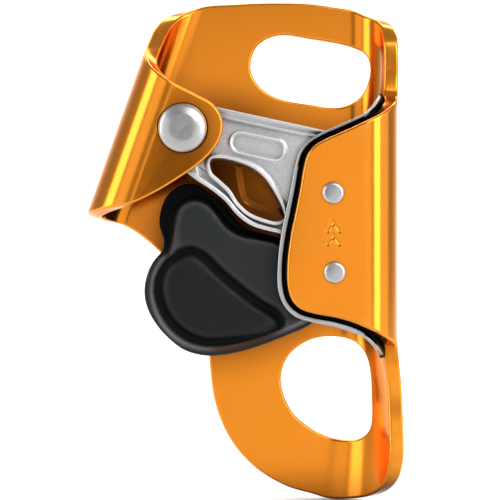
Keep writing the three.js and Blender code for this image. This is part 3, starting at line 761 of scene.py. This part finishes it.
def build_cam():
    window = smooth_loop(CAM_WINDOW, 0.6)
    belly = cam_belly()

    def front(p):
        from_crown = distance_to(CROWN, p, closed=False)
        from_belly = distance_to(belly, p, closed=False)
        from_window = distance_to(window, p)
        from_badge = distance_to(BADGE, p, closed=False)
        low = CAM_RECESS * step_up(from_crown - CROWN_RIM, SOFT)
        low -= BEAD_HEIGHT * band(from_crown, *CROWN_BEAD)
        low += GUTTER[1] * (1 - step_up(np.maximum(from_belly, from_window) - GUTTER[0], 0.6))
        low += BADGE_RELIEF[0] * (1 - step_up(from_badge - BADGE_RING[0], SOFT))
        low -= BADGE_RELIEF[1] * band(from_badge, *BADGE_RING)
        low *= step_up(from_belly - BELLY_RIM, SLOPE) * step_up(from_window - WINDOW_RIM, SLOPE)
        hub = 1 - step_up(np.linalg.norm(p, axis=1) - HUB_RADIUS + 0.1, 0.5)
        return CAM_FRONT + low * (1 - hub) - 0.5 * hub

    def rear(p):
        thinned = step_up(distance_to(window, p) - 1.2, 0.6) * step_up(p[:, 0] - 9, 0.6)
        thinned *= (1 - step_up(p[:, 0] - 25, 0.6)) * step_up(p[:, 1] + 13, 0.6)
        seat = ramp(SPRING_SEAT[0] - np.linalg.norm(p, axis=1), BREAK)
        return CAM_REAR - 1.6 * thinned - (CAM_REAR - SPRING_SEAT[1]) * seat

    def place(u, v, rise):
        # The nose narrows to fit inside the channel's bends.
        y = np.where(u > NOSE_FRONT[0], np.maximum(rise, CAM_FRONT + rounding(u, *NOSE_FRONT)), rise)
        y = np.where(u > NOSE_REAR[0], np.minimum(y, CAM_REAR - rounding(u, *NOSE_REAR)), y)
        return np.stack([u, y, v], 1)

    steps = [CROWN_RIM, CROWN_RIM + SOFT] + slopes_of(*CROWN_BEAD)
    creases = [ring_round(CROWN, radius) for radius in steps]
    creases += [ring_round(BADGE, radius) for radius in [BADGE_RING[0] - SOFT] + slopes_of(*BADGE_RING)]
    creases += [moved_in(window, -by) for by in (WINDOW_RIM, WINDOW_RIM + SLOPE)]
    creases += [beside(belly, by) for by in (BELLY_RIM, BELLY_RIM + SLOPE)]
    creases += [circle((0, 0), SPRING_SEAT[0] - by, 64) for by in (0, BREAK)]
    holes = [window, circle((0, 0), AXLE_RADIUS + 0.08)]
    body = panel("cam_body", cam_outline(), holes, place, front, rear, 0.32, 0.3, creases, 3)
    cut(body, prism("mud_slot", MUD_SLOT, *MUD_SLOT_Y))
    return joined(body, [build_teeth(), build_tongue()])


def slopes_of(start, end):
    """Where the slopes of a raised band start and end."""
    return [start, start + SOFT, end - SOFT, end]


def rounding(u, start, width, depth):
    """How far a quarter of an ellipse has fallen at u."""
    return depth * (1 - np.sqrt(np.clip(1 - ((u - start) / width) ** 2, 0, 1)))


def beside(line, by):
    """An open crease to the right of a line, as a loop that runs there and back."""
    return there_and_back((line - left_of(line) * by)[1:-1])


def ring_round(line, radius):
    """A loop at one distance round a straight line."""
    a, b = line
    along = math.degrees(math.atan2(*(b - a)[::-1]))
    far = arc(b, radius, along - 90, along + 90, 16)
    return np.concatenate([far, arc(a, radius, along + 90, along + 270, 16)])


def build_tongue():
    """The thin tail of the cam that the catch's fork goes round."""
    points = [(27, -20), (31.5, -23)] + arc(PIN, 3.8, 20, -190, 24).tolist() + [(23.2, -23.4)]
    hole = circle(PIN, PIN_RADIUS + 0.08, 32)
    outline = polygon(points, 0.8)
    front, rear = (level(y) for y in TAIL_Y)
    return panel("cam_tongue", outline, [hole], upright, front, rear, 1.0, 0.25)


TOOTH_ROWS = 13
TOOTH_SPREAD = (6.0, 34.5)  # degrees down of the first and the last row
TOOTH_ROW_Y = (-13.6, -7.2)  # front and rear of a row
TOOTH_PITCH = 1.35  # between the teeth of a row
TOOTH_RADIUS = 0.525
TOOTH_ROOT = -0.35  # from the gripping face, so that a tooth is rooted in it
TOOTH_TIP = 0.75
TOOTH_RAKE = 1.1  # degrees


def build_teeth():
    """Rows of small raked points on the gripping face, either side of the mud slot."""
    points, faces = [], []
    sides = 8
    slot = moved_in(np.array(MUD_SLOT, float), -TOOTH_RADIUS)
    for row, down in enumerate(np.linspace(*TOOTH_SPREAD, TOOTH_ROWS)):
        base = np.array(tooth_face(down, TOOTH_ROOT))
        tip = np.array(tooth_face(down + TOOTH_RAKE, TOOTH_TIP))
        across = np.array(tooth_face(down + 1, TOOTH_ROOT)) - base
        across /= np.linalg.norm(across)
        shift = 0.5 * (row % 2)
        for y in np.arange(TOOTH_ROW_Y[0] + shift, TOOTH_ROW_Y[1], TOOTH_PITCH):
            if MUD_SLOT_Y[0] - 0.4 < y < MUD_SLOT_Y[1] + 0.4 and inside([slot], base[None])[0]:
                continue
            first = len(points)
            for a in np.arange(sides) * 2 * math.pi / sides:
                x, z = base + across * TOOTH_RADIUS * math.cos(a)
                points.append((x, y + TOOTH_RADIUS * math.sin(a), z))
            points.append((tip[0], y, tip[1]))
            faces += [(first + k, first + (k + 1) % sides, first + sides) for k in range(sides)]
            faces.append(tuple(first + k for k in reversed(range(sides))))
    return make_mesh("cam_teeth", points, faces)


def prism(name, points, front, rear):
    """A straight-sided solid along Y, to cut with."""
    outline = turned_to(np.array(points, float), 1)
    count = len(outline)
    corners = [(x, y, z) for y in (front, rear) for x, z in outline]
    sides = [(k, (k + 1) % count, count + (k + 1) % count, count + k) for k in range(count)]
    ends = [tuple(range(count))[::-1], tuple(range(count, 2 * count))]
    return make_mesh(name, corners, [side[::-1] for side in sides] + [end[::-1] for end in ends])


def cut(piece, cutter):
    """Takes the cutter's solid out of the piece."""
    change = piece.modifiers.new("cut", "BOOLEAN")
    change.object = cutter
    change.solver = "EXACT"
    graph = bpy.context.evaluated_depsgraph_get()
    piece.data = bpy.data.meshes.new_from_object(piece.evaluated_get(graph))
    piece.modifiers.clear()
    bpy.data.objects.remove(cutter)
    piece.data.set_sharp_from_angle(angle=math.radians(40))


def joined(base, others):
    """One object from several, for a piece that is one casting."""
    with bpy.context.temp_override(active_object=base, selected_editable_objects=[base] + others):
        bpy.ops.object.join()
    return base


# ---------------------------------------- safety catch
CATCH_OUTLINE = [(8.0, -15.1), (5.2, -12.9), (2.2, -10.9), (-1.0, -11.3), (-3.6, -13.6)]
CATCH_OUTLINE += [(-4.8, -16.7), (-5.0, -19.4), (-4.1, -22.4), (-4.4, -24.4), (-6.3, -26.8)]
CATCH_OUTLINE += [(-7.6, -29.6), (-8.1, -33.0), (-7.5, -36.2), (-6.0, -39.1), (-3.4, -42.2)]
CATCH_OUTLINE += [(0.2, -44.9), (4.6, -46.0), (8.8, -45.7), (13.2, -44.7), (17.6, -43.2)]
CATCH_OUTLINE += [(21.6, -41.6), (25.4, -39.9), (28.4, -37.2), (30.6, -33.4), (31.5, -29.6)]
CATCH_OUTLINE += [(30.5, -26.7), (27.7, -25.5), (24.6, -25.4), (22.0, -23.8), (19.4, -21.9)]
CATCH_OUTLINE += [(16.4, -21.1), (13.2, -20.2), (10.2, -18.0)]
CATCH_FACE = [(1.4, -14.5), (-0.5, -15.6), (-1.4, -18), (-1.7, -21.5), (-2.3, -24.4), (-4.3, -26.6)]
CATCH_FACE += [(-5.9, -29.5), (-6.4, -33.0), (-5.8, -36), (-4.2, -39.2), (-1.6, -42), (1.6, -43.8)]
CATCH_FACE += [(5.4, -44.4), (10, -44), (16, -42.2), (21, -40.2), (25.2, -38.2), (28.9, -34.8)]
CATCH_FACE += [(30.4, -30.2), (28.6, -27.2), (24.4, -26.3), (19.4, -23.2), (15.2, -22.2)]
CATCH_FACE += [(11.4, -21.4), (8.6, -19.6), (6.6, -17.0), (4.4, -14.9)]
THUMB_GROOVE = [(1.6, -24.6), (4.1, -25.7), (7.0, -28.5), (11.3, -32.2), (15.6, -35.4), (18.8, -37.4)]
THUMB_GROOVE += [(19.7, -39.1), (18.2, -40.8), (14.2, -42.0), (8.4, -42.9), (4.1, -42.9), (0.7, -41.6)]
THUMB_GROOVE += [(-2.2, -39.2), (-4.2, -35.9), (-5.0, -32.5), (-4.6, -29.6), (-3.1, -27.0), (-0.8, -25.3)]
CATCH_SLOPE = (1.1, 1.6)  # how far outside the face's edge its slope starts, and the slope's width
TROUGH = (1.4, 0.95)  # depth and half width of the groove round the thumb pad
PAD_CROWN = 0.35
FORK_Y = (-12.0, -7.2)  # front and rear of the slot that goes round the cam's tail


def build_catch():
    """The thumb catch: a raised face with a grooved pad, forked to go round the cam's tail."""
    face = smooth_loop(CATCH_FACE, 0.6)
    groove = smooth_loop(THUMB_GROOVE, 0.6)

    def front(p):
        edge = signed_distance(face, p)
        from_groove = distance_to(groove, p)
        drop = (CATCH_SHOULDER - CATCH_FRONT) * (1 - step_up(edge + CATCH_SLOPE[0], CATCH_SLOPE[1]))
        trough = TROUGH[0] * np.exp(-((from_groove / TROUGH[1]) ** 2))
        dome = PAD_CROWN * step_up(signed_distance(groove, p) - 0.8, 5.0)
        return CATCH_FRONT + drop + trough - dome

    # Painted shade blackens the ledge round the top of the raised face and the groove round the thumb
    # pad; the pad itself is painted half as dark.
    def shade(p, rise):
        ledge = (1 - step_up(signed_distance(face, p) + 0.9, 0.6)) * step_up(p[:, 1] + 28, 5)
        trough = np.exp(-((distance_to(groove, p) / 0.9) ** 2))
        pad = 0.5 * step_up(signed_distance(groove, p), 0.8)
        return np.maximum(np.maximum(ledge, trough), pad)

    outline = smooth_loop(CATCH_OUTLINE, 0.7)
    hole = circle(PIN, PIN_RADIUS + 0.03, 32)
    creases = [moved_in(face, by) for by in (-1.1, -0.8, -0.5, -0.15, 0.2, 0.5)]
    creases += [moved_in(groove, by) for by in np.linspace(-1.2, 1.2, 7)]
    rear = level(CATCH_REAR)
    made = panel("catch_body", outline, [hole], upright, front, rear, 0.55, 0.4, creases, shade=shade)
    fork = arc(PIN, 4.7, 250, 165, 12).tolist() + [(19.5, -19), (36, -20), (36, -36)]
    cut(made, prism("fork_slot", fork, *FORK_Y))
    return made


# ---------------------------------------- turned pieces and springs
def build_axle():
    seat = FACE_Y + SEAT_DEPTH
    top = seat - AXLE_HEAD
    dimple = [(0, top + 0.07), (0.2, top + 0.05), (0.4, top)]
    head = [(2.65, top), (2.9, top + 0.06), (4.2, top + 0.52), (4.65, top + 0.8), (4.85, top + 1.15)]
    head += [(AXLE_HEAD_RADIUS, top + 1.5), (AXLE_HEAD_RADIUS, seat)]
    shank = [(AXLE_RADIUS, seat), (AXLE_RADIUS, -COUNTERSINK), (REAR_END_RADIUS, 0), (0, 0)]
    return turned_piece("axle_rivet", dimple + head + shank)


def build_rivet(name, centre):
    dome = [(0, -0.62), (1.5, -0.6), (1.85, -0.52), (2.1, -0.32), (2.2, -0.1), (2.2, -0.02)]
    profile = [(radius, FACE_Y + y) for radius, y in dome + [(RIVET_RADIUS, -0.02)]]
    inner = FLAP_Y + WEAR_GAP + WEAR_SHEET - 0.05
    return turned_piece(name, profile + [(RIVET_RADIUS, inner), (0, inner)], centre, 64)


def build_washer(name, front):
    rim, hole = (circle((0, 0), radius, 64) for radius in (4.7, AXLE_RADIUS + CLEARANCE))
    return panel(name, rim, [hole], upright, level(front), level(front + WASHER), 1.0, 0.08)


def build_pin():
    ends = (-14.45, CATCH_REAR + 0.1)
    profile = [(0, ends[0]), (PIN_RADIUS - 0.2, ends[0]), (PIN_RADIUS, ends[0] + 0.2)]
    profile += [(PIN_RADIUS, ends[1] - 0.2), (PIN_RADIUS - 0.2, ends[1]), (0, ends[1])]
    return turned_piece("pin_of_catch", profile, PIN, 48)


# ---------------------------------------- materials
def mixed(tree, factor, a, b):
    """A colour between a and b, each of which is a socket or an (r, g, b)."""
    mix = tree.nodes.new("ShaderNodeMix")
    mix.data_type = "RGBA"
    tree.links.new(factor, mix.inputs["Factor"])
    for socket, value in ((mix.inputs["A"], a), (mix.inputs["B"], b)):
        if isinstance(value, tuple):
            socket.default_value = (*value, 1)
        else:
            tree.links.new(value, socket)
    return mix.outputs["Result"]


def mapped(tree, value, start, end, low=0.0, high=1.0):
    """The value taken from the range start to end onto low to high."""
    node = tree.nodes.new("ShaderNodeMapRange")
    node.inputs["From Min"].default_value = start
    node.inputs["From Max"].default_value = end
    node.inputs["To Min"].default_value = low
    node.inputs["To Max"].default_value = high
    tree.links.new(value, node.inputs["Value"])
    return node.outputs["Result"]


def surface_noise(tree, grain, stretch, marked):
    """Fine noise, in the object's own space or, on a marked piece, in that of its flat blank."""
    if marked:
        where = tree.nodes.new("ShaderNodeAttribute")
        where.attribute_name = "blank"
        position = where.outputs["Vector"]
    else:
        position = tree.nodes.new("ShaderNodeTexCoord").outputs["Object"]
    mapping = tree.nodes.new("ShaderNodeMapping")
    mapping.inputs["Scale"].default_value = stretch
    noise = tree.nodes.new("ShaderNodeTexNoise")
    noise.inputs["Scale"].default_value = grain
    noise.inputs["Detail"].default_value = 6
    tree.links.new(position, mapping.inputs["Vector"])
    tree.links.new(mapping.outputs["Vector"], noise.inputs["Vector"])
    return noise.outputs["Fac"]


def material(name, colour, metallic, roughness, grain, *, coat=0.0, bump=0.0, stretch=(1, 1, 1),
             tint=0.12, marked=False, edge=None, painted_shade=None, reach=6.0):
    """A Principled finish with fine noise in its colour, roughness and surface. A painted highlight
    lightens convex edges towards the edge colour, and painted shade darkens hollows within reach
    towards the colour given for it. A marked piece has blank coordinates, and may have a shade
    attribute that says where its colour is painted darker: painted shade in grooves and on ledges,
    and a darker thumb pad."""
    made = bpy.data.materials.new(name)
    made.use_nodes = True
    tree = made.node_tree
    shader = tree.nodes["Principled BSDF"]
    noise = surface_noise(tree, grain, stretch, marked)
    deep = tuple(c * (1 - tint) for c in colour)
    pale = tuple(min(1, c * (1 + tint)) for c in colour)
    look = mixed(tree, noise, deep, pale)
    rough = mapped(tree, noise, 0, 1, roughness * 0.8, roughness * 1.25)
    # Painted highlight: pointiness lightens convex edges towards the edge colour.
    if edge:
        point = tree.nodes.new("ShaderNodeNewGeometry").outputs["Pointiness"]
        look = mixed(tree, mapped(tree, point, 0.51, 0.6), look, edge)
    # Painted shade: ambient occlusion darkens hollows and the gaps between parts towards the colour given
    # for it.
    if painted_shade:
        hollow = tree.nodes.new("ShaderNodeAmbientOcclusion")
        hollow.inputs["Distance"].default_value = reach * MM
        look = mixed(tree, mapped(tree, hollow.outputs["AO"], 0.95, 0.25), look, painted_shade)
    # Painted shade: the shade attribute blackens the colour and takes away specular reflection there.
    if marked:
        black = tree.nodes.new("ShaderNodeAttribute")
        black.attribute_name = "shade"
        look = mixed(tree, black.outputs["Fac"], look, (0.004, 0.004, 0.004))
        gloss = mapped(tree, black.outputs["Fac"], 0, 1, 0.32, 0.04)
        tree.links.new(gloss, shader.inputs["Specular IOR Level"])
    tree.links.new(look, shader.inputs["Base Color"])
    tree.links.new(rough, shader.inputs["Roughness"])
    shader.inputs["Metallic"].default_value = metallic
    shader.inputs["Coat Weight"].default_value = coat
    shader.inputs["Coat Roughness"].default_value = 0.08
    if bump:
        relief = tree.nodes.new("ShaderNodeBump")
        relief.inputs["Strength"].default_value = bump
        relief.inputs["Distance"].default_value = 0.05 * MM
        tree.links.new(noise, relief.inputs["Height"])
        tree.links.new(relief.outputs["Normal"], shader.inputs["Normal"])
    return made


# Each edge colour below is a painted highlight on convex edges, and each dark colour for hollows is
# painted shade.
anodised = material("anodised", (0.81, 0.255, 0.016), 1.0, 0.18, 900, coat=0.12, tint=0.06,
                    stretch=(4, 0.2, 1), marked=True, edge=(1.0, 0.5, 0.08),
                    painted_shade=(0.1, 0.02, 0.002), reach=9)
stainless = material("stainless", (0.48, 0.49, 0.505), 1.0, 0.28, 1200, bump=0.1, stretch=(1, 0.2, 1),
                     marked=True, painted_shade=(0.1, 0.1, 0.105), reach=2)
cast = material("cast", (0.58, 0.59, 0.605), 0.9, 0.36, 2600, bump=1.0, tint=0.22,
                edge=(0.98, 0.98, 0.98), painted_shade=(0.05, 0.05, 0.052), reach=2)
plated = material("plated", (0.4, 0.4, 0.41), 1.0, 0.3, 1500, bump=0.3, edge=(0.9, 0.9, 0.9))
nylon = material("nylon", (0.006, 0.0085, 0.0105), 0.0, 0.45, 3200, bump=0.6, marked=True,
                 edge=(0.06, 0.066, 0.072), painted_shade=(0.002, 0.002, 0.002), reach=4)
acetal = material("acetal", (0.62, 0.6, 0.55), 0.0, 0.5, 2000, bump=0.2)
spring_steel = material("spring_steel", (0.3, 0.31, 0.32), 1.0, 0.3, 2000, bump=0.1)


def finish_piece(piece, body, node, surface):
    """Gives a piece its material and attaches it to the body it rides; a piece given a pair of bodies
    only has its placement baked into its mesh. The CAD node it stands for is hidden."""
    piece.data.materials.clear()
    piece.data.materials.append(surface)
    if isinstance(body, tuple):
        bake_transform(piece)
    else:
        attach(piece, body)
    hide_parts(node)


def along_y(a, b, centre, ends):
    """Bodies a and b, and the stretch of Y over which a coil passes from one to the other."""
    start, end = ((centre[0] * MM, y * MM, centre[1] * MM) for y in ends)
    return (a, b, start, end)


finish_piece(build_frame(), "frame", "frame", anodised)
finish_piece(build_wear_plate(), "frame", "wear_plate", stainless)
for label, spot in zip(("upper", "lower"), RIVETS):
    rivet = build_rivet("rivet_" + label, spot)
    finish_piece(rivet, "frame", "wear_plate_rivet_" + label, plated)
finish_piece(build_axle(), "frame", "cam_axle", plated)
for label, face in WASHER_FRONTS.items():
    washer = build_washer("washer_" + label, face)
    finish_piece(washer, "frame", "cam_washer_" + label, acetal)
finish_piece(build_cam(), "cam", "cam", cast)
finish_piece(build_catch(), "catch", "safety_catch", nylon)
finish_piece(build_pin(), "cam", "catch_pin", plated)
spring = coil("return_spring", (0, 0), 3.95, CAM_COIL, turns=2.6, start=-60, legs=(0.5, 5.0), wire=0.4)
spread = along_y("cam", "frame", (0, 0), CAM_COIL)
finish_piece(spring, spread, "cam_spring", spring_steel)
spring = coil("catch_coil", PIN, 1.9, CATCH_COIL, turns=2.2, start=80, legs=(0.6, 1.6), wire=0.25)
spread = along_y("cam", "catch", PIN, CATCH_COIL)
finish_piece(spring, spread, "catch_spring", spring_steel)


# ---------------------------------------- floor, light and camera
FLOOR_GAP = 0.2  # below the part
FLAG_Y = -140.0
VIEW_CENTRE = (13.5, -24.4)  # x and z at the middle of the picture
VIEW_WIDTH = 102.0  # of the picture, at the depth VIEW_PLANE_Y
VIEW_PLANE_Y = -10.0
VIEW_DISTANCE = 480.0


def build_floor(low):
    """A pale floor that curves up into a backdrop behind the part."""
    half, wall_y, wall_top, bend = 3000, 1200, 2500, 400
    start = wall_y - bend
    angles = np.linspace(0, HALF_PI, 16)[1:]
    curve = [(start + bend * math.sin(a), bend * (1 - math.cos(a))) for a in angles]
    rows = [(-half, 0.0), (start, 0.0)] + curve + [(wall_y, wall_top)]
    points = [(x, y, low + z) for y, z in rows for x in (-half, half)]
    faces = [(2 * i, 2 * i + 1, 2 * i + 3, 2 * i + 2) for i in range(len(rows) - 1)]
    floor = make_mesh("floor", points, faces)
    floor.data.materials.append(material("floor", (0.93, 0.93, 0.93), 0.0, 0.6, 3, tint=0.01))
    floor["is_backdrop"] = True


def build_flag():
    """A dark card in front of the tab, seen only in reflections."""
    corners = [(-11, -26), (20, -26), (16, 13), (3, 13)]
    flag = make_mesh("flag", [(x, FLAG_Y, z) for x, z in corners], [(0, 1, 2, 3)])
    flag.data.materials.append(material("flag", (0.03, 0.03, 0.03), 0.0, 0.9, 3, tint=0.01))
    flag.visible_camera = flag.visible_shadow = flag.visible_diffuse = False
    flag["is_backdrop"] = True


def soft_light(name, where, aim, size, power):
    """A rectangular light at a place in metres, turned to face another."""
    lamp = bpy.data.lights.new(name, "AREA")
    lamp.shape = "RECTANGLE"
    lamp.size, lamp.size_y = size
    lamp.energy = power
    made = bpy.data.objects.new(name, lamp)
    made.location = where
    made.rotation_euler = (Vector(aim) - Vector(where)).to_track_quat("-Z", "Y").to_euler()
    bpy.context.scene.collection.objects.link(made)


def light_world():
    world = bpy.data.worlds.new("studio")
    bpy.context.scene.world = world
    world.use_nodes = True
    background = world.node_tree.nodes["Background"]
    background.inputs["Color"].default_value = (1.0, 0.98, 0.95, 1)
    background.inputs["Strength"].default_value = 0.42


def place_camera():
    """A long lens straight in front of the part, level with its middle."""
    lens = bpy.data.cameras.new("camera")
    lens.sensor_width = 36
    lens.lens = lens.sensor_width * (VIEW_DISTANCE + VIEW_PLANE_Y) / VIEW_WIDTH
    lens.clip_start = 0.01
    lens.clip_end = 20
    camera = bpy.data.objects.new("camera", lens)
    camera.location = Vector((VIEW_CENTRE[0], -VIEW_DISTANCE, VIEW_CENTRE[1])) * MM
    camera.rotation_euler = (HALF_PI, 0, 0)
    bpy.context.scene.collection.objects.link(camera)
    bpy.context.scene.camera = camera


low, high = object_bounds()
middle = (low + high) / 2
build_floor(low.z / MM - FLOOR_GAP)
build_flag()
soft_light("key", (0.35, -0.6, 0.45), middle, (0.5, 0.5), 2.0)
soft_light("front", (0.2, -0.8, -0.13), middle, (0.6, 0.5), 0.75)
soft_light("left", (-0.5, -0.25, 0.1), middle, (0.24, 0.6), 1.35)
soft_light("left front", (-0.42, -0.68, 0.05), middle, (0.36, 0.6), 0.5)
soft_light("right", (0.52, -0.4, 0.1), middle, (0.22, 0.6), 1.6)
soft_light("right side", (0.6, -0.12, 0.1), middle, (0.3, 0.6), 0.4)
soft_light("backdrop", (0, 0.5, 0.9), (0, 1.1, 0), (1.5, 0.5), 14)

light_world()
place_camera()
bpy.context.scene.view_settings.view_transform = "Standard"

low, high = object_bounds()
